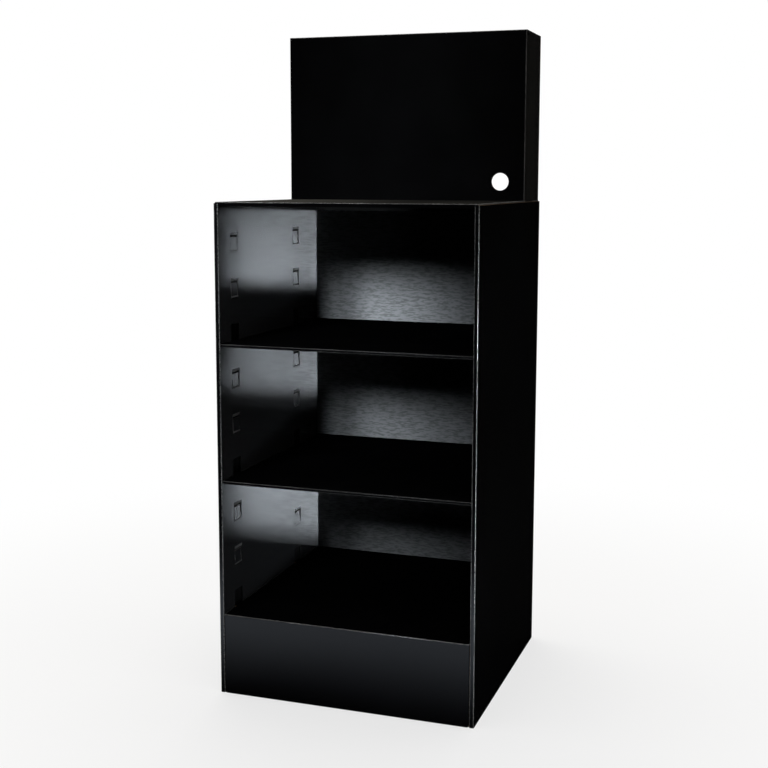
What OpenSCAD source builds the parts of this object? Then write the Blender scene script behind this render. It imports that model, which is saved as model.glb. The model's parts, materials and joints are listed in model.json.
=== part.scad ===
// Floor display stand of folded corrugated board: double side walls with die-cut
// shelf slots, a plinth, two shelves, a top and an open-backed header.
// Millimetres, +Z up. The origin is on the floor, under the middle of the body.
// The front faces -Y.

/* [Body] */
// Outside width of the body
body_w = 580; // [450:1:800]
// Outside depth of the body
body_d = 560; // [480:1:700]
// Height of the plinth, from the floor to the lowest shelf surface
plinth_h = 180; // [120:1:260]
// Height from one shelf surface to the next
compartment_h = 300; // [285:1:400]

/* [Board] */
// Thickness of the corrugated board
board_t = 3; // [2.5:0.1:4]
// Outer radius of a creased fold
crease_r = 2; // [1:0.1:2.4]
// How much wider the hollow of a side wall is than one board
wall_slack = 1; // [0.8:0.1:3]
// Gap where one sheet slips past another
fit_gap = 0.3; // [0.1:0.05:0.35]
// Gap between a shelf's sides and the walls
side_gap = 0.8; // [0.4:0.1:0.9]
// Gap between an inner wall panel's rear edge and the back
inner_rear_gap = 2; // [0.5:0.5:6]
// Width of the back's glued side flanges
flange_w = 60; // [30:1:80]

/* [Slots] */
// Width of a shelf slot
slot_w = 38; // [30:1:60]
// Height of a shelf slot
slot_h = 44; // [40:1:52]
// Centre of the front slot column, from the front
slot_front = 77; // [50:1:120]
// Centre of the rear slot column, from the back
slot_rear = 140; // [110:1:180]
// Spare slot rows in each compartment
spare_rows = 2; // [1:1:3]
// Height of the short flap at a slot's upper edge
slot_lip_h = 6; // [4:0.5:8]
// Height of the slit between a slot's two flaps
slit_h = 5; // [3:0.5:8]
// How far the flaps of a spare slot are pushed into the wall
flap_push = 2; // [0.5:0.1:3]
// Cut around a flap's sides
flap_kerf = 0.8; // [0.4:0.1:1.5]

/* [Shelves] */
// Space between the two layers of a shelf
shelf_gap = 1; // [0.4:0.1:3]
// How far the shelf fronts lie behind the wall fronts
shelf_setback = 3; // [0:0.5:20]
// Play of a shelf tab in its slot, along the wall
tab_play = 2; // [1:0.5:6]

/* [Plinth] */
// Radius of the riser's lower corners
riser_corner_r = 5; // [2:0.5:12]
// Seam between neighbouring legs at a plinth corner
corner_seam = 0.8; // [0.4:0.1:2]

/* [Top] */
// Height of the top's front lip
cap_lip_h = 9; // [8:1:30]
// Height of the top's side flaps, tucked into the walls
cap_flap_h = 50; // [25:1:54]
// Height of the top's rear flap
cap_rear_h = 30; // [15:1:60]
// Gap between a tucked flap's ends and what it stops short of
tuck_gap = 8; // [4:1:15]
// Start of the top's side flaps, from the front
cap_flap_start = 20; // [12:1:60]

/* [Header] */
// Height of the header
header_h = 380; // [200:1:500]
// Depth of the header
header_d = 150; // [120:1:220]
// Width of the return flaps around the header's open back
return_w = 25; // [15:1:50]
// Depth of the header's foot flange, which lies on the top
foot_d = 40; // [20:1:80]
// Height of the tongues that hold the header in the walls
tongue_h = 45; // [25:1:52]
// Diameter of the lead hole in the header
hole_d = 40; // [20:1:60]
// Centre of the lead hole, from the header's side
hole_side = 57; // [40:1:90]
// Centre of the lead hole, above the top
hole_rise = 43; // [35:1:80]

/* [Hidden] */
$fn = 48;
overrun = 5;
compartments = 3;
print_colour = [0.09, 0.09, 0.1];
kraft_colour = [0.66, 0.5, 0.33];

// Walls and the room between them
wall_gap = board_t + wall_slack;
wall_t = 2 * board_t + wall_gap;
body_h = plinth_h + compartments * compartment_h;
front_y = -body_d / 2;
back_y = body_d / 2;
back_face_y = back_y - board_t;
inner_len = body_d - board_t - inner_rear_gap;
room_w = body_w - 2 * wall_t;
insert_w = room_w - 2 * side_gap;
insert_back_y = back_face_y - fit_gap;
insert_mid_y = (front_y + insert_back_y) / 2;
tuck_x = body_w / 2 - board_t - fit_gap;

// Shelves and their slots
shelf_t = 2 * board_t + shelf_gap;
slot_pitch = compartment_h / (spare_rows + 1);
slot_columns = [slot_front, body_d - slot_rear];
shelf_levels = [for (i = [0 : compartments - 1]) plinth_h + i * compartment_h];
used_rows = [for (level = shelf_levels) level - shelf_t];
spare_rows_z = [for (z = used_rows, i = [1 : spare_rows]) z + i * slot_pitch];
tab_w = slot_w - tab_play;
flap_w = slot_w - 2 * flap_kerf;
flap_h = slot_h - slot_lip_h - slit_h;
flap_root = board_t / 2;

// Header and the top that carries it
cap_z = body_h + board_t;
header_y = back_y - header_d;
tongue_y = header_y + tuck_gap;
tongue_w = header_d - flange_w - 2 * tuck_gap;

// A sheet folded down at both ends, seen along its folds: its flat lies below y = 0, from x = 0 to span
module channel(span, left_leg, right_leg) {
    translate([crease_r, -board_t]) square([span - 2 * crease_r, board_t]);
    translate([0, -left_leg]) square([board_t, left_leg - crease_r]);
    translate([span - board_t, -right_leg]) square([board_t, right_leg - crease_r]);
    for (x = [crease_r, span - crease_r])
        translate([x, -crease_r]) circle(crease_r);
}

// What a rounded edge takes off a square corner at the origin, whose material lies at +X and -Y
module corner_waste(r) {
    difference() {
        translate([-overrun, -r]) square([r + overrun, r + overrun]);
        translate([r, -r]) circle(r);
    }
}

// The waste of an upper edge that runs along X, for a front edge at y
module edge_along_x(length, y, z, r = crease_r) {
    translate([-length / 2 - overrun, y, z])
        rotate([90, 0, 90]) linear_extrude(length + 2 * overrun) corner_waste(r);
}

// The waste of an upper edge that runs back along Y, for a left edge at x
module edge_along_y(y0, y1, x, z, r = crease_r) {
    translate([x, y1, z])
        rotate([90, 0, 0]) linear_extrude(y1 - y0) corner_waste(r);
}

// The waste of an upright edge, for a front left corner at x and y
module edge_along_z(z0, z1, x, y, r = crease_r) {
    translate([x, y, z0])
        linear_extrude(z1 - z0) mirror([0, 1]) corner_waste(r);
}

// Its children, and their mirror image across the middle of the stand
module both_sides() {
    children();
    mirror([1, 0, 0]) children();
}

// A profile drawn in x and z, swept along the wall for the width of a flap, at the column y
module across_column(y, width) {
    translate([0, y + width / 2, 0]) rotate([90, 0, 0]) linear_extrude(width) children();
}

// The two flaps of a spare slot, creased at its lower and upper edges and pushed into the hollow
module spare_flaps(y, z) {
    room_x = wall_t;
    hollow_x = wall_t - board_t;
    lower_z = z + flap_h;
    upper_z = z + slot_h;
    lip_push = flap_push * slot_lip_h / flap_h;
    across_column(y, flap_w) {
        polygon([[hollow_x, z - flap_root], [room_x, z - flap_root], [room_x, z],
                 [room_x - flap_push, lower_z], [hollow_x - flap_push, lower_z], [hollow_x, z]]);
        polygon([[hollow_x, upper_z + flap_root], [room_x, upper_z + flap_root], [room_x, upper_z],
                 [room_x - lip_push, upper_z - slot_lip_h], [hollow_x - lip_push, upper_z - slot_lip_h],
                 [hollow_x, upper_z]]);
    }
}

// The flap of a slot in use, folded over its lower edge and down inside the hollow
module tucked_flap(y, z) {
    hem = 2 * board_t + fit_gap;
    across_column(y, flap_w)
        translate([wall_t - hem, z]) channel(hem, flap_h, board_t);
}

// A side wall from x = 0 inwards: outer panel, front strip and inner panel are one sheet
module side_wall() {
    difference() {
        linear_extrude(body_h) mirror([0, 1]) channel(wall_t, body_d, inner_len);
        for (y = slot_columns, z = concat(used_rows, spare_rows_z))
            translate([wall_t - board_t - fit_gap, y - slot_w / 2, z])
                cube([board_t + overrun, slot_w, slot_h]);
    }
    for (y = slot_columns) {
        for (z = spare_rows_z) spare_flaps(y, z);
        for (z = used_rows) tucked_flap(y, z);
    }
}

module side_wall_left() {
    color(print_colour) translate([-body_w / 2, front_y, 0]) side_wall();
}

module side_wall_right() {
    color(print_colour) mirror([1, 0, 0]) translate([-body_w / 2, front_y, 0]) side_wall();
}

// The back stands as high as the top's surface, and its flanges stop under the top
module back_panel() {
    span = body_w - 2 * board_t;
    color(print_colour) difference() {
        translate([-span / 2, back_y, 0]) linear_extrude(cap_z) channel(span, flange_w, flange_w);
        translate([-body_w / 2, front_y, body_h])
            cube([body_w, back_face_y - front_y, board_t + overrun]);
    }
}

// The plan of a sheet that plugs into the slots: a panel with two tabs on each side
module tabbed_plan(y0, y1) {
    translate([-insert_w / 2, y0]) square([insert_w, y1 - y0]);
    for (y = slot_columns)
        translate([-tuck_x, front_y + y - tab_w / 2]) square([2 * tuck_x, tab_w]);
}

// A shelf is one sheet folded double at its front edge
module shelf(level) {
    y0 = front_y + shelf_setback;
    depth = insert_back_y - y0;
    translate([0, 0, level - shelf_t]) intersection() {
        translate([-tuck_x, y0, 0]) rotate([90, 0, 90])
            linear_extrude(2 * tuck_x) rotate(90) channel(shelf_t, depth, depth);
        linear_extrude(shelf_t) tabbed_plan(y0, insert_back_y);
    }
}

module shelf_upper() {
    color(print_colour) shelf(shelf_levels[2]);
}

module shelf_lower() {
    color(print_colour) shelf(shelf_levels[1]);
}

// The plinth: a sheet whose riser, side legs and rear leg fold down from the floor of the lowest room
module base_tray() {
    depth = insert_back_y - front_y;
    tray_x = -insert_w / 2;
    floor_z = plinth_h - board_t;
    color(print_colour) {
        difference() {
            translate([tray_x, front_y, 0]) cube([insert_w, depth, plinth_h]);
            translate([tray_x + board_t, front_y + board_t, -overrun])
                cube([insert_w - 2 * board_t, depth - 2 * board_t, floor_z + overrun]);
            edge_along_x(insert_w, front_y, plinth_h);
            translate([0, insert_back_y, 0]) mirror([0, 1, 0]) edge_along_x(insert_w, 0, plinth_h);
            both_sides() {
                edge_along_y(front_y - overrun, insert_back_y + overrun, tray_x, plinth_h);
                edge_along_z(-overrun, plinth_h + overrun, tray_x, front_y);
                // Rounded lower corner of the riser
                translate([tray_x, front_y + board_t, 0]) mirror([0, 0, 1]) rotate([90, 0, 0])
                    linear_extrude(board_t + overrun) corner_waste(riser_corner_r);
                // Seams between the side leg and its neighbours
                for (y = [front_y + board_t, insert_back_y - board_t - corner_seam])
                    translate([tray_x - overrun, y, -overrun])
                        cube([board_t + overrun, corner_seam, floor_z + overrun]);
                // Where each tab was cut out of the side leg
                for (y = slot_columns)
                    translate([tray_x - overrun, front_y + y - slot_w / 2, floor_z - wall_t])
                        cube([board_t + overrun, slot_w, wall_t]);
            }
        }
        translate([0, 0, floor_z]) linear_extrude(board_t) intersection() {
            tabbed_plan(front_y, insert_back_y);
            for (y = slot_columns)
                translate([-tuck_x, front_y + y - tab_w / 2]) square([2 * tuck_x, tab_w]);
        }
    }
}

// A card that stands under the floor, halved where the other one crosses it
module divider(length, notch_z) {
    height = plinth_h - board_t;
    notch_w = board_t + 2 * fit_gap;
    difference() {
        translate([-length / 2, -board_t / 2, 0]) cube([length, board_t, height]);
        translate([-notch_w / 2, -board_t, notch_z])
            cube([notch_w, 2 * board_t, height / 2 + overrun]);
    }
}

module base_divider_long() {
    color(kraft_colour) translate([0, insert_mid_y, 0])
        divider(insert_w - 2 * board_t - 2 * fit_gap, (plinth_h - board_t) / 2);
}

module base_divider_cross() {
    depth = insert_back_y - front_y;
    color(kraft_colour) translate([0, insert_mid_y, 0])
        rotate(90) divider(depth - 2 * board_t - 2 * fit_gap, -overrun);
}

// The top: a sheet on the walls, with a front lip, a rear flap and side flaps tucked into the hollows
module top_cap() {
    depth = insert_back_y - front_y;
    flap_y0 = front_y + cap_flap_start;
    flap_y1 = header_y - tuck_gap;
    color(print_colour) difference() {
        union() {
            translate([-tuck_x, front_y, body_h]) cube([2 * tuck_x, depth, board_t]);
            translate([-insert_w / 2, front_y, cap_z - cap_lip_h]) cube([insert_w, board_t, cap_lip_h]);
            translate([-insert_w / 2, insert_back_y - board_t, cap_z - cap_rear_h])
                cube([insert_w, board_t, cap_rear_h]);
            both_sides()
                translate([-tuck_x, flap_y0, cap_z - cap_flap_h])
                    cube([board_t, flap_y1 - flap_y0, cap_flap_h]);
        }
        edge_along_x(2 * tuck_x, front_y, cap_z);
        translate([0, insert_back_y, 0]) mirror([0, 1, 0]) edge_along_x(2 * tuck_x, 0, cap_z);
        both_sides() {
            edge_along_y(front_y - overrun, insert_back_y + overrun, -tuck_x, cap_z);
            // Notch that lets a tongue of the header through
            translate([-tuck_x - overrun, tongue_y - fit_gap, body_h - overrun])
                cube([board_t + fit_gap + overrun, tongue_w + 2 * fit_gap, board_t + 2 * overrun]);
        }
    }
}

// The header: front, sides and top of one sheet, with returns around its open back and a foot flange
module header() {
    top_z = cap_z + header_h;
    width = 2 * tuck_x;
    color(print_colour) {
        difference() {
            translate([-tuck_x, header_y, cap_z]) cube([width, header_d, header_h]);
            translate([-tuck_x + board_t, header_y + board_t, cap_z - overrun])
                cube([width - 2 * board_t, header_d - 2 * board_t, header_h - board_t + overrun]);
            translate([-tuck_x + return_w, header_y + board_t, cap_z - overrun])
                cube([width - 2 * return_w, header_d + overrun, header_h - return_w + overrun]);
            translate([tuck_x - hole_side, header_y - overrun, cap_z + hole_rise])
                rotate([-90, 0, 0]) cylinder(h = board_t + 2 * overrun, d = hole_d);
            edge_along_x(width, header_y, top_z);
            translate([0, back_y, 0]) mirror([0, 1, 0]) edge_along_x(width, 0, top_z);
            both_sides() {
                edge_along_z(cap_z - overrun, top_z + overrun, -tuck_x, header_y);
                translate([0, back_y, 0]) mirror([0, 1, 0])
                    edge_along_z(cap_z - overrun, top_z + overrun, -tuck_x, 0);
            }
        }
        // Foot flange, folded back from the front panel
        translate([-tuck_x + board_t + side_gap, header_y + board_t / 2, cap_z])
            cube([width - 2 * (board_t + side_gap), foot_d, board_t]);
        both_sides()
            translate([-tuck_x, tongue_y, cap_z - tongue_h])
                cube([board_t, tongue_w, tongue_h + board_t]);
    }
}

side_wall_left();
side_wall_right();
back_panel();
shelf_upper();
shelf_lower();
base_tray();
base_divider_long();
base_divider_cross();
top_cap();
header();
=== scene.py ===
"""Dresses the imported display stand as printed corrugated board, in a plain studio."""
import json
import math

import bpy
import numpy as np
from bpy.props import FloatProperty, FloatVectorProperty, PointerProperty
from mathutils import Matrix, Vector


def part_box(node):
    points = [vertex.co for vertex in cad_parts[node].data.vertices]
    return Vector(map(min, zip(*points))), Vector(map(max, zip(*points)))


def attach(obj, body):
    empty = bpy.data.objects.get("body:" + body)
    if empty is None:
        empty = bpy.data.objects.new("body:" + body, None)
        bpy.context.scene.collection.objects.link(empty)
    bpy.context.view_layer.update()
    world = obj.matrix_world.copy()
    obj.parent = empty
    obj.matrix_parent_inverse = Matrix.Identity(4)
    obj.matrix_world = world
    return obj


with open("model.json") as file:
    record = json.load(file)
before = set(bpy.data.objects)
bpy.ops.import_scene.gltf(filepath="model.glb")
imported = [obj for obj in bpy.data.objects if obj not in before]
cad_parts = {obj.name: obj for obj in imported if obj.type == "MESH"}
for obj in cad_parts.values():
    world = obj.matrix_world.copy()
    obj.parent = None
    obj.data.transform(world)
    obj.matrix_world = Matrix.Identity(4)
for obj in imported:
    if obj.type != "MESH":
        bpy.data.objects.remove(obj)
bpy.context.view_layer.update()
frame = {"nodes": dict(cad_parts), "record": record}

bl_info = {
    "name": "Cardboard display stand",
    "version": (1, 0, 0),
    "blender": (4, 5, 0),
    "location": "View3D > Sidebar > Stand",
    "description": "Printed board, bare reverse sides, worn creases, cut flutes and a plain studio",
    "category": "Object",
}

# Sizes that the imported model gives, in metres
MOUNTS = {mount["name"]: mount for mount in frame["record"]["mounts"]}
BOARD_T = MOUNTS["lead_hole"]["dims"]["length_mm"] / 1000
HOLE_R = MOUNTS["lead_hole"]["dims"]["r_mm"] / 1000
HOLE_X, _, HOLE_Z = MOUNTS["lead_hole"]["pos_m"]
WALL_LOW, WALL_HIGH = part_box("side_wall_right")
_, BACK_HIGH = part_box("back_panel")
_, TRAY_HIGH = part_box("base_tray")
_, CAP_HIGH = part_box("top_cap")
HEADER_LOW, HEADER_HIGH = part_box("header")
BODY_X = WALL_HIGH.x
ROOM_X = WALL_LOW.x
FRONT_Y = WALL_LOW.y
BACK_Y = BACK_HIGH.y
BODY_Z = WALL_HIGH.z
NEAR = 0.0006
CREASE_R = 0.002

# Shelf slots of the side walls, as in the part's source
SLOT_FRONT_Y = -0.203
SLOT_REAR_Y = 0.140
SLOT_FIRST_Z = 0.173
SLOT_PITCH = 0.1
SLOT_W = 0.038
SLOT_H = 0.044
SLOT_LIP_H = 0.006
SLOT_LINE = 0.002
SLOT_ROOT_H = 0.005
SLOT_RIM = 0.0035
SLOT_RIM_FADE = 0.0022
SLOT_RIM_CORE = 0.0008
LINE_CORE_SHARE = 0.3

# Scales of the board's noises, for each metre
SMUDGE = 5.0
MOTTLE = 9.0
CLOUD = 14.0
PATCH = 16.0
FIBRE = 260.0
PEEL = 330.0
STREAK = 330.0
NICK = 700.0
FLECK = 900.0
CRACK = 1100.0
GRAIN = 1400.0
PAPER = 1500.0

# Heights of the board's texture, in metres
PEEL_H = 0.000012
BARE_WAVE_H = 0.00003
PAPER_H = 0.00005
WORN_H = 0.00006
NICK_H = 0.0001
FIBRE_H = 0.00012

# Board: roughness of bare paper, refraction of a coat, and shares of the gloss that dull parts lose
BARE_ROUGH = 0.85
COAT_IOR = 1.8
HOLLOW_DULL = 0.97
STREAK_DULL = 0.42

# Shares of a base colour: ink on the back, paler ink, darker bare side, cut edges and cut paper
BACK_INK = 0.4
PALE_INK = 1.9
DARK_BARE = 0.62
CUT_DARK = 0.1
CUT_PALE = 0.3
PAPER_DARK = 0.12
PAPER_PALE = 0.5

# Steps in one wave of a flute
WAVE_STEPS = 12

# A part of a normal between these is that of a rounded crease
BEND = (0.15, 0.985)

# Floor: the camera's white, and what bounced light sees, near black with a patch before the riser
WHITE = (1, 1, 1, 1)
FLOOR_DARK = (0.003, 0.003, 0.003, 1)
FLOOR_PATCH = (0.28, 0.31, 0.36, 1)
FLOOR_RINGS = 13
FLOOR_SIDES = 64
FLOOR_CORE_R = 0.02
FLOOR_INNER_R = 0.6
FLOOR_OUTER_R = 12.0
FLOOR_WHITE = 0.66
FLOOR_FADE = (0.7, 2.0)

# Width of the camera's sensor, in millimetres
SENSOR_W = 36

# Lamps: name, place, target, size, power, colour and the angle that a grid leaves, in degrees
COOL = (0.84, 0.92, 1.0)
WARM = (1.0, 0.97, 0.9)
LAMPS = (
    ("soft_box_far_1", (2.1, -3.6, 0.3), (-0.09, 0.27, 0.92), (0.4, 0.4), 0.16, COOL, 6),
    ("soft_box_far_2", (2.41, -3.6, 0.3), (-0.22, 0.27, 0.92), (0.4, 0.4), 0.16, COOL, 6),
    ("soft_box_near", (1.2, -1.9, 0.12), (-0.16, 0.27, 0.34), (0.42, 0.22), 0.85, COOL, 20),
    ("soft_box_left_1", (-0.8, -2.9, 2.0), (-0.09, 0.15, 0.74), (0.4, 1.0), 1.2, COOL, 18),
    ("soft_box_left_2", (-0.42, -2.9, 2.0), (-0.2, 0.15, 0.74), (0.3, 1.0), 0.5, COOL, 18),
    ("soft_box_top", (-0.3, 0.6, 3.4), (0.0, 0.0, 0.8), (1.6, 1.6), 40, WARM, 180),
)


class Shade:
    """A socket of a node tree. Operators on it add Math nodes, and node() adds any other node."""

    def __init__(self, tree, socket=None):
        self.tree = tree
        self.socket = socket

    def node(self, kind, settings=None, sockets=None, output=0):
        """Adds a node, applies its settings, fills its sockets and returns one of its outputs."""
        made = self.tree.nodes.new(kind)
        for name, value in (settings or {}).items():
            setattr(made, name, value)
        for name, value in (sockets or {}).items():
            target = self.pick(made.inputs, name)
            if isinstance(value, Shade):
                self.tree.links.new(value.socket, target)
            else:
                target.default_value = value
        return Shade(self.tree, self.pick(made.outputs, output) if len(made.outputs) else None)

    @staticmethod
    def pick(sockets, name):
        """A socket by its number, its identifier or its name."""
        if isinstance(name, int):
            return sockets[name]
        for socket in sockets:
            if socket.identifier == name:
                return socket
        return sockets[name]

    def math(self, operation, *values):
        return self.node("ShaderNodeMath", {"operation": operation}, dict(enumerate(values)))

    def __add__(self, other):
        return self.math("ADD", self, other)

    def __radd__(self, other):
        return self.math("ADD", other, self)

    def __sub__(self, other):
        return self.math("SUBTRACT", self, other)

    def __rsub__(self, other):
        return self.math("SUBTRACT", other, self)

    def __mul__(self, other):
        return self.math("MULTIPLY", self, other)

    def __rmul__(self, other):
        return self.math("MULTIPLY", other, self)

    def __pow__(self, other):
        return self.math("POWER", self, other)

    def __abs__(self):
        return self.math("ABSOLUTE", self)

    def __gt__(self, other):
        return self.math("GREATER_THAN", self, other)

    def __lt__(self, other):
        return self.math("LESS_THAN", self, other)

    def both(self, other):
        return self.math("MINIMUM", self, other)

    def either(self, other):
        return self.math("MAXIMUM", self, other)

    def sine(self):
        return self.math("SINE", self)

    def rise(self, low, high):
        """0 below low, 1 above high and a smooth step between."""
        return self.node(
            "ShaderNodeMapRange",
            {"interpolation_type": "SMOOTHSTEP"},
            {"Value": self, "From Min": low, "From Max": high},
        )

    def between(self, low, high):
        return (self > low) * (self < high)

    def blend(self, low, high):
        """A colour that goes from low to high with this value."""
        return self.node(
            "ShaderNodeMix",
            {"data_type": "RGBA"},
            {"Factor_Float": self, "A_Color": low, "B_Color": high},
            "Result_Color",
        )

    def noise(self, scale, detail=2.0, stretch=(1.0, 1.0, 1.0), roughness=0.5):
        """Noise over this place, with the place stretched along each axis first."""
        spread = self.node(
            "ShaderNodeVectorMath", {"operation": "MULTIPLY"}, {0: self, 1: tuple(stretch)}
        )
        return self.node(
            "ShaderNodeTexNoise",
            {},
            {"Vector": spread, "Scale": scale, "Detail": detail, "Roughness": roughness},
            "Fac",
        )


class Spot:
    """The place of a surface point and the way its face looks, each split into x, y and z."""

    def __init__(self, shade):
        self.place = shade.node("ShaderNodeTexCoord", output="Object")
        facing = shade.node("ShaderNodeNewGeometry", output="True Normal")
        self.x, self.y, self.z = [
            shade.node("ShaderNodeSeparateXYZ", {}, {0: self.place}, axis) for axis in range(3)
        ]
        self.nx, self.ny, self.nz = [
            shade.node("ShaderNodeSeparateXYZ", {}, {0: facing}, axis) for axis in range(3)
        ]
        self.out = self.nx * self.x.math("SIGN", self.x)
        self.side = abs(self.x)


class BoardLook(bpy.types.PropertyGroup):
    """Colours and surface of the board."""

    ink: FloatVectorProperty(
        name="Ink", description="Colour of the printed side", subtype="COLOR",
        size=3, min=0, max=1, default=(0.001, 0.001, 0.0011),
    )
    # Painted light: the walls' room side gets a lighter ink than outside, which lifts the shade in the
    # rooms
    painted_room_light: FloatVectorProperty(
        name="Rubbed ink", description="Colour of the walls' room side, which goods have rubbed",
        subtype="COLOR", size=3, min=0, max=1, default=(0.018, 0.0182, 0.019),
    )
    # Liner colour: the paper under cracked print, and also the colour of painted highlights on the slots
    # and along the folds
    liner: FloatVectorProperty(
        name="Liner", description="Paper that shows where a crease has cracked the print",
        subtype="COLOR", size=3, min=0, max=1, default=(0.3, 0.29, 0.28),
    )
    kraft: FloatVectorProperty(
        name="Kraft", description="Bare reverse side of the board", subtype="COLOR",
        size=3, min=0, max=1, default=(0.42, 0.26, 0.13),
    )
    # Painted shade: a dark grey in place of kraft for the bare side inside the walls and under the top,
    # which stands in for the shade in there
    hollow_shade: FloatVectorProperty(
        name="Hollow", description="Bare side inside the walls and under the top", subtype="COLOR",
        size=3, min=0, max=1, default=(0.04, 0.039, 0.038),
    )
    gloss: FloatProperty(
        name="Print roughness", description="Roughness of the varnished print",
        subtype="FACTOR", min=0, max=1, default=0.13,
    )
    back_gloss: FloatProperty(
        name="Back roughness", description="Roughness of the back's print, which its flutes stretch",
        subtype="FACTOR", min=0, max=1, default=0.31,
    )
    # Painted sheen: a grey laid in patches over the top and the header's top and sides, standing in for
    # the top's grazing reflection and the header's lighter sides
    painted_sheen: FloatVectorProperty(
        name="Dust", description="Colour of the dust on the top", subtype="COLOR",
        size=3, min=0, max=1, default=(0.075, 0.072, 0.062),
    )
    back_stretch: FloatProperty(
        name="Back stretch", description="How much more the back's gloss spreads upwards than sideways",
        subtype="FACTOR", min=0, max=1, default=0.84,
    )
    varnish: FloatProperty(
        name="Varnish", description="Strength of the mirror-like reflection",
        subtype="FACTOR", min=0, max=1, default=1.0,
    )
    # Crease wear, set high enough that the pale dashes also paint part of the creases' highlight line
    wear_and_glint: FloatProperty(
        name="Crease wear", description="How much of a crease has lost its print",
        subtype="FACTOR", min=0, max=1, default=0.85,
    )
    flute_pitch: FloatProperty(
        name="Flute pitch", description="Distance from one flute to the next",
        subtype="DISTANCE", unit="LENGTH", min=0.002, max=0.012, default=0.0065,
    )
    washboard: FloatProperty(
        name="Washboard", description="Height of the ripple that the flutes leave in the print",
        subtype="DISTANCE", unit="LENGTH", min=0, max=0.0005, default=0.000008,
    )
    back_ripple: FloatProperty(
        name="Back ripple", description="Height of the rough ripple in the back's print",
        subtype="DISTANCE", unit="LENGTH", min=0, max=0.001, default=0.00006,
    )
    lean: FloatProperty(
        name="Lean", description="Slope of the walls' room side at half depth, into the room",
        min=-0.2, max=0.2, default=-0.03,
    )
    bow: FloatProperty(
        name="Bow", description="Growth of that slope for each metre towards the back",
        min=-0.5, max=0.5, default=-0.1,
    )
    back_bow: FloatProperty(
        name="Back bow", description="Growth of the back's slope for each metre from its middle",
        min=-1, max=1, default=0.625,
    )
    ior: FloatProperty(
        name="Refraction", description="Refractive index of the varnish", min=1, max=3, default=2.0,
    )


class FluteSizes(bpy.types.PropertyGroup):
    """Sizes of the layers that show at a cut edge."""

    liner_t: FloatProperty(
        name="Liner thickness", description="Thickness of the two flat layers",
        subtype="DISTANCE", unit="LENGTH", min=0.0001, max=0.001, default=0.0003,
    )
    medium_t: FloatProperty(
        name="Medium thickness", description="Thickness of the fluted layer",
        subtype="DISTANCE", unit="LENGTH", min=0.0001, max=0.001, default=0.00022,
    )
    proud: FloatProperty(
        name="Proud", description="How far the layers stand out of the solid board",
        subtype="DISTANCE", unit="LENGTH", min=0.0001, max=0.001, default=0.0004,
    )


class StudioLook(bpy.types.PropertyGroup):
    """Camera, floor and lamps."""

    lens: FloatProperty(
        name="Lens", description="Focal length", subtype="DISTANCE_CAMERA", min=10, max=300,
        default=59.11,
    )
    camera_place: FloatVectorProperty(
        name="Camera", description="Place of the camera", subtype="TRANSLATION", size=3,
        unit="LENGTH", default=(0.9222, -2.6972, 1.130),
    )
    camera_yaw: FloatProperty(
        name="Yaw", description="Turn of the camera to the left", subtype="ANGLE", default=0.3309
    )
    camera_pitch: FloatProperty(
        name="Pitch", description="Tilt of the camera, up", subtype="ANGLE", default=-0.1342
    )
    camera_roll: FloatProperty(
        name="Roll", description="Roll of the camera", subtype="ANGLE", default=0.0017
    )
    camera_shift: FloatProperty(
        name="Shift", description="Upward shift of the picture", default=-0.0443
    )
    floor: FloatVectorProperty(
        name="Floor", description="Colour of the floor", subtype="COLOR", size=3, min=0, max=1,
        default=(0.8, 0.8, 0.8),
    )
    ambient: FloatProperty(
        name="Ambient", description="Light of the room on the object", min=0, max=1, default=0.8
    )
    mirrored: FloatProperty(
        name="Mirrored", description="Share of the white background that the print mirrors",
        subtype="FACTOR", min=0, max=1, default=0.002,
    )


def material_of(name):
    """A new material with an empty node tree, and the Shade that builds it."""
    material = bpy.data.materials.new(name)
    material.use_nodes = True
    material.node_tree.nodes.clear()
    return material, Shade(material.node_tree)


def rgba(colour, share=1.0):
    """A colour times a share, with full alpha."""
    return tuple(share * part for part in colour) + (1,)


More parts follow.
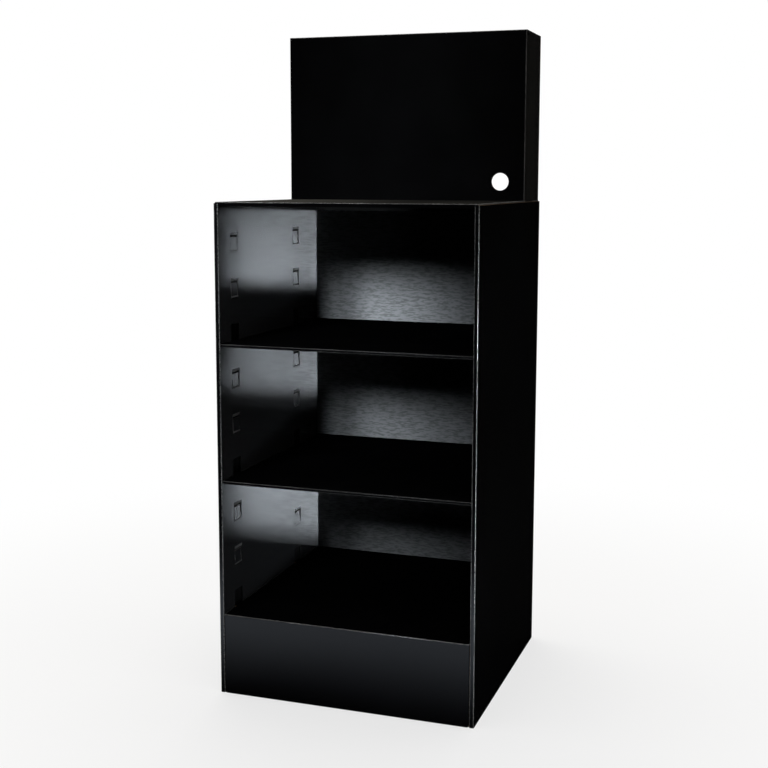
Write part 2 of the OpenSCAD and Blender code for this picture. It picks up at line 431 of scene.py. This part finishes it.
def board_material(
    name, zones, flutes="y", rough_back=False, dark_inside=False, varnish=1.0, coat=None, painted_sheen=None,
    marks=None,
):
    """Board printed on one side. zones(spot) gives four masks: printed, cut edge, fold and scuff.

    varnish scales the gloss of the whole piece. Where only some faces are varnished, coat(spot) is
    their mask. The sheen mask tells how much of a face takes a grey painted sheen, for a grazing
    reflection and for the header's lighter sides. marks(spot) gives two masks of a die-cut wall: its
    dull cut lines, and painted highlights on its slots' lips, lower edges and rims.

    The height is a sum of ripples: the flutes show as a sine wave across them, the print has a
    fine orange peel, and the bare side has fibres. flutes names the axis the wave runs along.
    The back is shaded as bowed, by a height of back_bow x^2 / 2, and the walls' room side by
    lean y + bow y^2 / 2. There z times the normal's z shades the slant of the pushed flaps away.

    Dull parts are metal of the dark base colour, which mirrors next to nothing. With dark_inside the bare
    side takes the dark hollow colour in place of kraft: painted shade inside the walls and under the top.
    """
    look = bpy.context.scene.board_look
    material, base = material_of(name)
    spot = Spot(base)
    printed, cut, fold, scuff = zones(spot)
    along = {"x": spot.x, "y": spot.y, "z": spot.z}[flutes]
    wave = (along * (2 * math.pi / look.flute_pitch)).sine()

    # Print: mottled ink, with smudges in its gloss
    mottle = spot.place.noise(MOTTLE, 3.0)
    grain = spot.place.noise(GRAIN, 1.0)
    smudge = spot.place.noise(SMUDGE, 4.0, (1.0, 1.0, 0.6), 0.6)
    depth = BACK_INK if rough_back else 1.0
    ink_mix = (0.6 * mottle + 0.4 * grain).rise(0.35, 0.75)
    ink_colour = ink_mix.blend(rgba(look.ink, depth), rgba(look.ink, PALE_INK * depth))

    # Bare side: long fibres, flecks and the flutes showing through
    fibre_stretch = {"x": (4.0, 1.0, 1.0), "y": (1.0, 0.25, 1.0), "z": (1.0, 1.0, 0.2)}[flutes]
    fibre = spot.place.noise(FIBRE, 4.0, fibre_stretch, 0.65)
    fleck = spot.place.noise(FLECK, 2.0).rise(0.66, 0.74)
    cloud = spot.place.noise(CLOUD, 3.0)
    # Painted shade: with dark_inside the bare side takes the dark hollow colour in place of kraft
    bare = look.hollow_shade if dark_inside else look.kraft
    dark_bare = rgba(bare, DARK_BARE)
    bare_mix = (0.55 * fibre + 0.3 * cloud + 0.06 * wave).rise(0.25, 0.7)
    bare_colour = (fleck * 0.35).blend(bare_mix.blend(dark_bare, rgba(bare)), dark_bare)

    # Cut edge: paper ends, pale where the knife dragged the liner
    nick = spot.place.noise(NICK, 2.0).rise(0.55, 0.7)
    cut_colour = nick.blend(rgba(look.kraft, CUT_DARK), rgba(look.kraft, CUT_PALE))

    # Wear and painted highlight: the print cracks along a fold in short broken dashes of liner colour, set
    # even enough to paint part of the fold's highlight line
    crack = spot.place.noise(CRACK, 3.0, (1.0, 1.0, 0.5), 0.7)
    patch = spot.place.noise(PATCH, 3.0).rise(0.4, 0.65)
    worn_and_glint = fold * crack.rise(0.42, 0.66) * (0.6 + 0.4 * patch) * look.wear_and_glint
    worn_and_glint = worn_and_glint.either(scuff * crack.rise(0.6, 0.75) * 0.3)

    # Dull parts: the hollow, the back's streaks and the slots' cut lines
    dull = (1 - printed) * (1 - cut) * HOLLOW_DULL if dark_inside else 0.0
    if rough_back:
        streak = spot.place.noise(STREAK, 3.0, (0.2, 1.0, 1.0), 0.6)
        dull = printed * streak.rise(0.4, 0.64) * STREAK_DULL
    if marks:
        # Painted light: the room side of the walls takes the lighter room ink
        room = printed * (spot.out < -0.5)
        ink_colour = room.blend(ink_colour, rgba(look.painted_room_light))
        # Painted highlights on the slots, laid in pale liner colour together with the wear
        lines, slot_glint = marks(spot)
        dull = dull.either(lines)
        worn_and_glint = worn_and_glint.either(slot_glint * (0.3 + 0.7 * crack) * (0.35 + 0.65 * patch))

    # Colour and roughness, from the lowest layer up
    # Painted sheen: grey patches over the ink where the sheen mask asks for them
    if painted_sheen:
        sheen_share = (0.6 + 0.4 * (0.4 * cloud + 0.6 * smudge).rise(0.25, 0.7)) * painted_sheen(spot)
        ink_colour = sheen_share.blend(ink_colour, rgba(look.painted_sheen))
    colour = printed.blend(bare_colour, ink_colour)
    colour = cut.blend(colour, cut_colour)
    colour = worn_and_glint.blend(colour, rgba(look.liner))
    even_rough = look.back_gloss if rough_back else look.gloss
    print_rough = even_rough + 0.1 * (smudge - 0.5) + 0.05 * (grain - 0.5)
    roughness = printed * (1 - cut) * (1 - worn_and_glint) * (print_rough - BARE_ROUGH) + BARE_ROUGH

    # Heights in metres
    peel = spot.place.noise(PEEL, 2.0) * PEEL_H
    bare_height = fibre * FIBRE_H + wave * BARE_WAVE_H
    print_height = peel + wave * look.washboard
    if rough_back:
        print_height = print_height + streak * look.back_ripple + spot.x ** 2 * (look.back_bow / 2)
    height = printed * print_height + (1 - printed) * bare_height + cut * nick * NICK_H
    height = height + worn_and_glint * WORN_H
    if marks:
        sag = spot.y * look.lean + spot.y ** 2 * (look.bow / 2)
        height = height + room * (sag + spot.z * spot.nz)
    normal = base.node(
        "ShaderNodeBump", {}, {"Strength": 1.0, "Distance": 1.0, "Height": height}, "Normal"
    )
    shader = base.node(
        "ShaderNodeBsdfPrincipled",
        {},
        {
            "Base Color": colour,
            "Roughness": roughness,
            "Normal": normal,
            "IOR": look.ior,
            "Specular IOR Level": 0.5 * look.varnish * varnish,
            "Metallic": dull,
            "Anisotropic": look.back_stretch if rough_back else 0.0,
            "Anisotropic Rotation": 0.25,
            "Coat Weight": coat(spot) if coat else 0.0,
            "Coat Roughness": look.gloss,
            "Coat IOR": COAT_IOR,
        },
    )
    base.node("ShaderNodeOutputMaterial", {}, {"Surface": shader})
    return material


def dress(node, material):
    """Gives a CAD node its material."""
    mesh = frame["nodes"][node].data
    mesh.materials.clear()
    mesh.materials.append(material)


def slot_marks(spot):
    """Cut lines of the shelf slots, and painted highlights on their upper lips, lower edges and side rims.

    along is the way from the middle of the nearest slot column, and up is the way above the lower
    edge of the nearest slot below, which comes back every pitch.
    """
    along = abs(spot.y - SLOT_FRONT_Y).both(abs(spot.y - SLOT_REAR_Y))
    climb = spot.z - SLOT_FIRST_Z + SLOT_LINE
    up = climb.math("FLOORED_MODULO", climb, SLOT_PITCH) - SLOT_LINE
    room = (spot.out < -0.5) * (spot.side < ROOM_X + BOARD_T)
    inside = along < SLOT_W / 2
    beside = abs(along - SLOT_W / 2).rise(SLOT_LINE, LINE_CORE_SHARE * SLOT_LINE) * up.between(0, SLOT_H)
    below = inside * abs(up).rise(SLOT_LINE, LINE_CORE_SHARE * SLOT_LINE)
    # Painted highlights: the lip, the root and the rim take the pale liner colour, for light that the
    # pushed lips and edges catch
    lip = inside * up.between(SLOT_H - SLOT_LIP_H, SLOT_H)
    root = inside * up.between(SLOT_LINE, SLOT_ROOT_H)
    rim_line = abs(along - SLOT_W / 2 + SLOT_RIM).rise(SLOT_RIM_FADE, SLOT_RIM_CORE)
    rim = rim_line * up.between(0, SLOT_H)
    return room * beside.either(below * 0.8), room * lip.either(root).either(rim * 0.7) * 0.8


def top_sheen(spot):
    """Painted reflection: a grey sheen on the top, patchy and stronger to the left."""
    return (spot.nz > 0.9) * (0.12 + 0.3 * (0 - spot.x).rise(-0.1, 0.2))


def header_sheen(spot):
    """Painted light: a grey film on the header's top and sides, which makes them lighter than its front.
    """
    return (spot.nz > 0.9).either(spot.out > 0.9) * 0.2


def front_face(spot):
    """Front faces and the folds above them, which keep their varnish where goods rub the rest matt."""
    return (spot.ny < -0.1) * (0.05 + 0.9 * (spot.z < TRAY_HIGH.z))


def wall_zones(spot):
    """Side wall: print outside, on the front strip and on the room side, bare in the hollow."""
    outside = (spot.out > 0.5) * (spot.side > BODY_X - NEAR)
    room = (spot.out < -0.5) * (spot.side < ROOM_X + BOARD_T - NEAR)
    strip = (spot.ny < -0.3) * (spot.y < FRONT_Y + CREASE_R)
    fold = (abs(spot.nx).between(*BEND)) * (spot.ny < -0.1) * (spot.y < FRONT_Y + CREASE_R + NEAR)
    flat = outside.either(room).either(strip).either(fold)
    slot_crease = (abs(spot.nz).between(0.02, 0.6)) * room
    edge = 1 - abs(spot.nx).either((spot.ny < 0) * abs(spot.ny)).rise(0.4, 0.6)
    return flat, edge, fold, slot_crease * 0.5


def back_zones(spot):
    """Back: print on the room side, bare behind."""
    room = (spot.ny < -0.5) * (spot.y > BACK_Y - BOARD_T - NEAR)
    cut = abs(spot.nz) > 0.5
    fold = (abs(spot.nx).between(*BEND)) * (spot.ny > 0.1)
    return room, cut, fold * 0.3, room * 0


def shelf_zones(spot):
    """Shelf: print above, below and round the front fold, cut at its ends."""
    flat = abs(spot.nz).either((spot.ny < 0) * abs(spot.ny)) > 0.4
    cut = (abs(spot.nx) > 0.5).either(spot.ny > 0.5)
    fold = (abs(spot.nz).between(0.2, 0.985)) * (spot.ny < -0.1)
    return flat, cut, fold * 0.4, flat * 0


def tray_zones(spot):
    """Plinth: print on the floor of the room and the riser, bare inside."""
    top = (spot.nz > 0.4) * (spot.z > TRAY_HIGH.z - BOARD_T)
    riser = (spot.ny < -0.4) * (spot.y < FRONT_Y + CREASE_R)
    side = (spot.out > 0.4) * (spot.side > ROOM_X - BOARD_T)
    rear = (spot.ny > 0.4) * (spot.y > TRAY_HIGH.y - CREASE_R)
    cut = (spot.nz < -0.5) * (spot.z < NEAR)
    fold = (spot.nz.between(*BEND)) * (spot.z > TRAY_HIGH.z - CREASE_R - NEAR)
    return top.either(riser).either(side).either(rear), cut, fold, riser * 0


def cap_zones(spot):
    """Top: print above and on the lip, bare below."""
    top = (spot.nz > 0.15) * (spot.z > CAP_HIGH.z - CREASE_R - NEAR)
    lip = (spot.ny < -0.4) * (spot.y < FRONT_Y + CREASE_R)
    cut = (spot.nz < -0.5) * (spot.z < BODY_Z - NEAR)
    fold = (spot.nz.between(*BEND)) * top
    return top.either(lip), cut, fold, top * 0


def header_zones(spot):
    """Header: print outside and on the returns, bare inside, cut at the hole and the flaps' ends."""
    front = (spot.ny < -0.15) * (spot.y < HEADER_LOW.y + CREASE_R + NEAR)
    side = (spot.out > 0.15) * (spot.side > HEADER_HIGH.x - CREASE_R - NEAR)
    top = (spot.nz > 0.15) * (spot.z > HEADER_HIGH.z - CREASE_R - NEAR)
    rear = (spot.ny > 0.15) * (spot.y > HEADER_HIGH.y - CREASE_R - NEAR)
    printed = front.either(side).either(top).either(rear)
    away = ((spot.x - HOLE_X) ** 2 + (spot.z - HOLE_Z) ** 2) ** 0.5
    bore = (away < HOLE_R + NEAR) * (abs(spot.ny) < 0.5)
    flap_end = (spot.y > HEADER_HIGH.y - BOARD_T - NEAR) * (abs(spot.ny) < 0.5) * (1 - side) * (1 - top)
    foot = (spot.z < CAP_HIGH.z + BOARD_T + NEAR) * (spot.y < HEADER_HIGH.y - BOARD_T)
    foot_end = (spot.ny > 0.5) * foot
    cut = bore.either(flap_end).either(foot_end)
    bent = abs(spot.nx).either(abs(spot.ny)).either(abs(spot.nz)) < BEND[1]
    fold = printed * bent
    return printed, cut, fold * 0.8, printed * 0


def bare_zones(spot):
    """Divider: bare board all over, cut at its edges."""
    none = spot.x * 0
    cut = (abs(spot.nz) > 0.5)
    return none, cut, none, none


def ribbon(start, along, across, outward, line, half, proud):
    """A thin strip that stands on an edge, as vertices and faces.

    line gives, for each step, how far along the edge and how far across the board its middle lies.
    The strip's cross-section is a rectangle: half to each side, square to the line, and proud high.
    """
    slope = np.gradient(line, axis=0)
    slope /= np.linalg.norm(slope, axis=1)[:, None]
    sideways = np.stack([-slope[:, 1], slope[:, 0]], axis=1)
    rims = np.stack([line - half * sideways, line + half * sideways], axis=1)[:, [0, 0, 1, 1]]
    lift = np.array([0.0, proud, proud, 0.0])
    points = (
        np.asarray(start)
        + rims[..., 0, None] * np.asarray(along)
        + rims[..., 1, None] * np.asarray(across)
        + lift[None, :, None] * np.asarray(outward)
    )
    steps = len(line)
    ring = np.arange(4)
    first = 4 * np.arange(steps - 1)[:, None] + ring
    second = 4 * np.arange(steps - 1)[:, None] + (ring + 1) % 4
    faces = np.stack([first, first + 4, second + 4, second], axis=2).reshape(-1, 4)
    ends = np.array([[0, 1, 2, 3], np.arange(3, -1, -1) + 4 * (steps - 1)])
    handed = np.dot(np.cross(along, across), outward)
    faces = np.concatenate([faces, ends])
    return points.reshape(-1, 3), faces[:, ::-1] if handed > 0 else faces


def cut_edge(name, start, along, across, outward, length, waves):
    """The layers of a cut edge: two straight liners and, where the cut crosses the flutes, the wave.

    The wave's middle lies at a sine of the way along the edge, as high as the room between the
    liners. Both are ribbons that stand a little proud of the solid board.
    """
    sizes = bpy.context.scene.flute_sizes
    pitch = bpy.context.scene.board_look.flute_pitch
    room = BOARD_T / 2 - sizes.liner_t - sizes.medium_t / 2
    ends = np.array([0.0, length])
    lines = [
        (np.stack([ends, np.full(2, side * (BOARD_T - sizes.liner_t) / 2)], axis=1), sizes.liner_t / 2)
        for side in (-1, 1)
    ]
    if waves:
        way = np.linspace(0, length, WAVE_STEPS * round(length / pitch) + 1)
        lines.append((np.stack([way, room * np.sin(2 * np.pi * way / pitch)], axis=1), sizes.medium_t / 2))
    points, faces, count = [], [], 0
    for line, half in lines:
        strip_points, strip_faces = ribbon(start, along, across, outward, line, half, sizes.proud)
        points.append(strip_points)
        faces.append(strip_faces + count)
        count += len(strip_points)
    mesh = bpy.data.meshes.new(name)
    mesh.from_pydata(np.concatenate(points).tolist(), [], np.concatenate(faces).tolist())
    mesh.update()
    piece = bpy.data.objects.new(name, mesh)
    bpy.context.scene.collection.objects.link(piece)
    mesh.materials.append(bpy.data.materials["cut_paper"])
    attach(piece, "root")
    return piece


def paper_material(name):
    """Cut paper: brown fibres with paler dragged ends."""
    look = bpy.context.scene.board_look
    material, base = material_of(name)
    spot = Spot(base)
    fibre = spot.place.noise(PAPER, 3.0)
    dark, pale = rgba(look.kraft, PAPER_DARK), rgba(look.kraft, PAPER_PALE)
    colour = fibre.rise(0.3, 0.7).blend(dark, pale)
    normal = base.node(
        "ShaderNodeBump", {}, {"Strength": 1.0, "Distance": 1.0, "Height": fibre * PAPER_H}, "Normal"
    )
    shader = base.node(
        "ShaderNodeBsdfPrincipled",
        {},
        {"Base Color": colour, "Roughness": 0.8 + 0.1 * fibre, "Normal": normal, "IOR": 1.5},
    )
    base.node("ShaderNodeOutputMaterial", {}, {"Surface": shader})
    return material


class STAND_OT_walls(bpy.types.Operator):
    """Dress the two side walls and their slots"""

    bl_idname = "stand.walls"
    bl_label = "Side walls"

    def execute(self, context):
        material = board_material("print_walls", wall_zones, "y", dark_inside=True, marks=slot_marks)
        dress("side_wall_left", material)
        dress("side_wall_right", material)
        return {"FINISHED"}


class STAND_OT_back(bpy.types.Operator):
    """Dress the back, with its rippled print"""

    bl_idname = "stand.back"
    bl_label = "Back"

    def execute(self, context):
        dress("back_panel", board_material("print_back", back_zones, "z", rough_back=True))
        return {"FINISHED"}


class STAND_OT_shelves(bpy.types.Operator):
    """Dress the two shelves"""

    bl_idname = "stand.shelves"
    bl_label = "Shelves"

    def execute(self, context):
        material = board_material("print_shelves", shelf_zones, "y", varnish=0.0, coat=front_face)
        dress("shelf_upper", material)
        dress("shelf_lower", material)
        return {"FINISHED"}


class STAND_OT_plinth(bpy.types.Operator):
    """Dress the plinth and the cards under its floor"""

    bl_idname = "stand.plinth"
    bl_label = "Plinth"

    def execute(self, context):
        dress("base_tray", board_material("print_plinth", tray_zones, "x", varnish=0.0, coat=front_face))
        bare = board_material("bare_cards", bare_zones, "x", varnish=0.4)
        dress("base_divider_long", bare)
        dress("base_divider_cross", bare)
        return {"FINISHED"}


class STAND_OT_top(bpy.types.Operator):
    """Dress the top"""

    bl_idname = "stand.top"
    bl_label = "Top"

    def execute(self, context):
        material = board_material(
            "print_top", cap_zones, "x", dark_inside=True, varnish=0.0, painted_sheen=top_sheen
        )
        dress("top_cap", material)
        return {"FINISHED"}


class STAND_OT_header(bpy.types.Operator):
    """Dress the header, with its lead hole"""

    bl_idname = "stand.header"
    bl_label = "Header"

    def execute(self, context):
        dress("header", board_material("print_header", header_zones, "x", varnish=0.15, painted_sheen=header_sheen))
        return {"FINISHED"}


class STAND_OT_cut_edges(bpy.types.Operator):
    """Add the liners and flutes that show at the cut edges"""

    bl_idname = "stand.cut_edges"
    bl_label = "Cut edges"

    def execute(self, context):
        paper_material("cut_paper")
        right, up, back = np.eye(3)[0], np.eye(3)[2], np.eye(3)[1]
        panel_x = BODY_X - BOARD_T / 2
        wall_start_y = FRONT_Y + CREASE_R
        for side, name in ((-1, "left"), (1, "right")):
            cut_edge(
                f"flutes_wall_{name}", (side * panel_x, wall_start_y, BODY_Z), back, right, up,
                BACK_Y - wall_start_y, True,
            )
            cut_edge(
                f"liners_wall_{name}", (side * panel_x, BACK_Y, 0.0), up, right, back, BODY_Z, False
            )
        back_x = BACK_HIGH.x - CREASE_R
        cut_edge(
            "liners_back", (-back_x, BACK_Y - BOARD_T / 2, BACK_HIGH.z), right, back, up, 2 * back_x, False
        )
        return {"FINISHED"}


def area_lamp(name, place, target, size, power, colour, beam):
    """A soft box that looks at a target. A grid narrows its beam to an angle in degrees."""
    lamp = bpy.data.lights.new(name, "AREA")
    lamp.shape = "ELLIPSE"
    lamp.size, lamp.size_y = size
    lamp.energy = power
    lamp.color = colour
    lamp.spread = math.radians(beam)
    piece = bpy.data.objects.new(name, lamp)
    bpy.context.scene.collection.objects.link(piece)
    piece.location = place
    piece.rotation_euler = (Vector(target) - Vector(place)).to_track_quat("-Z", "Y").to_euler()
    piece.visible_camera = False
    return piece


class STAND_OT_studio(bpy.types.Operator):
    """Add the camera, the floor, the background and the lamps"""

    bl_idname = "stand.studio"
    bl_label = "Studio"

    def execute(self, context):
        studio = context.scene.studio_look
        context.scene.view_settings.view_transform = "Standard"
        self.add_camera(context, studio)
        self.add_floor(context, studio)
        self.add_world(context, studio)
        for lamp in LAMPS:
            area_lamp(*lamp)
        return {"FINISHED"}

    def add_camera(self, context, studio):
        """The camera looks along (-sin yaw, cos yaw), tilted by the pitch and rolled."""
        data = bpy.data.cameras.new("camera")
        data.lens = studio.lens
        data.sensor_width = SENSOR_W
        data.shift_y = studio.camera_shift
        camera = bpy.data.objects.new("camera", data)
        context.scene.collection.objects.link(camera)
        turn = (
            Matrix.Rotation(studio.camera_yaw, 4, "Z")
            @ Matrix.Rotation(math.pi / 2 + studio.camera_pitch, 4, "X")
            @ Matrix.Rotation(studio.camera_roll, 4, "Z")
        )
        camera.matrix_world = Matrix.Translation(studio.camera_place) @ turn
        context.scene.camera = camera

    def add_floor(self, context, studio):
        """A disc of rings: x and y are a radius times the cosine and sine of an angle.

        The camera sees it fade to white away from the stand.
        """
        outer_rings = np.linspace(FLOOR_INNER_R, FLOOR_OUTER_R, FLOOR_RINGS - 1)
        radius = np.concatenate([[FLOOR_CORE_R], outer_rings])
        angle = np.linspace(0, 2 * np.pi, FLOOR_SIDES, endpoint=False)
        flat = np.zeros((FLOOR_RINGS, FLOOR_SIDES))
        grid = np.stack(
            [np.outer(radius, np.cos(angle)), np.outer(radius, np.sin(angle)), flat], axis=2
        )
        index = np.arange(FLOOR_RINGS * FLOOR_SIDES).reshape(FLOOR_RINGS, FLOOR_SIDES)
        ahead = np.roll(index, -1, axis=1)
        quads = np.stack([index[:-1], index[1:], ahead[1:], ahead[:-1]], axis=2).reshape(-1, 4)
        mesh = bpy.data.meshes.new("floor")
        mesh.from_pydata(grid.reshape(-1, 3).tolist(), [], quads.tolist() + [index[0].tolist()])
        mesh.update()
        floor = bpy.data.objects.new("floor", mesh)
        context.scene.collection.objects.link(floor)
        material, base = material_of("floor_paper")
        spot = Spot(base)
        away = (spot.x ** 2 + spot.y ** 2) ** 0.5
        seen = base.node("ShaderNodeLightPath", output="Is Camera Ray")
        white = base.node("ShaderNodeEmission", {}, {"Color": WHITE, "Strength": 1.0})
        tone = spot.place.noise(30.0, 2.0).blend(rgba(studio.floor, 0.985), rgba(studio.floor))
        near = 0 - spot.y
        front = near.rise(0.25, 0.75) * (1 - near.rise(0.9, 1.4)) * (1 - spot.side.rise(0.5, 0.9))
        bounce = front.blend(FLOOR_DARK, FLOOR_PATCH)
        paper = base.node("ShaderNodeBsdfDiffuse", {}, {"Color": seen.blend(bounce, tone)})
        share = seen * (FLOOR_WHITE + (1 - FLOOR_WHITE) * away.rise(*FLOOR_FADE))
        mixed = base.node("ShaderNodeMixShader", {}, {0: share, 1: paper, 2: white})
        base.node("ShaderNodeOutputMaterial", {}, {"Surface": mixed})
        mesh.materials.append(material)

    def add_world(self, context, studio):
        """White for what the camera sees, a soft room for diffuse light and a dim one in the gloss."""
        world = bpy.data.worlds.new("studio")
        world.use_nodes = True
        world.node_tree.nodes.clear()
        base = Shade(world.node_tree)
        seen = base.node("ShaderNodeLightPath", output="Is Camera Ray")
        through = base.node("ShaderNodeLightPath", output="Is Transmission Ray")
        glossy = base.node("ShaderNodeLightPath", output="Is Glossy Ray")
        diffuse = base.node("ShaderNodeLightPath", output="Is Diffuse Ray")
        strength = seen.either(through).either(glossy * studio.mirrored).either(diffuse * studio.ambient)
        sky = base.node("ShaderNodeBackground", {}, {"Color": WHITE, "Strength": strength})
        base.node("ShaderNodeOutputWorld", {}, {"Surface": sky})
        context.scene.world = world


OPERATORS = (
    STAND_OT_walls,
    STAND_OT_back,
    STAND_OT_shelves,
    STAND_OT_plinth,
    STAND_OT_top,
    STAND_OT_header,
    STAND_OT_cut_edges,
    STAND_OT_studio,
)
GROUPS = {"board_look": BoardLook, "flute_sizes": FluteSizes, "studio_look": StudioLook}


class STAND_PT_panel(bpy.types.Panel):
    """Lists the stand's settings and operators"""

    bl_idname = "STAND_PT_panel"
    bl_label = "Display stand"
    bl_space_type = "VIEW_3D"
    bl_region_type = "UI"
    bl_category = "Stand"

    def draw(self, context):
        for group, kind in GROUPS.items():
            box = self.layout.box()
            for name in kind.__annotations__:
                box.prop(getattr(context.scene, group), name)
        for operator in OPERATORS:
            self.layout.operator(operator.bl_idname)


CLASSES = (*GROUPS.values(), *OPERATORS, STAND_PT_panel)


def register():
    for kind in CLASSES:
        bpy.utils.register_class(kind)
    for name, kind in GROUPS.items():
        setattr(bpy.types.Scene, name, PointerProperty(type=kind))


def unregister():
    for name in GROUPS:
        delattr(bpy.types.Scene, name)
    for kind in reversed(CLASSES):
        bpy.utils.unregister_class(kind)


def main():
    register()
    bpy.ops.stand.walls()
    bpy.ops.stand.back()
    bpy.ops.stand.shelves()
    bpy.ops.stand.plinth()
    bpy.ops.stand.top()
    bpy.ops.stand.header()
    bpy.ops.stand.cut_edges()
    bpy.ops.stand.studio()


if __name__ == "__main__":
    main()
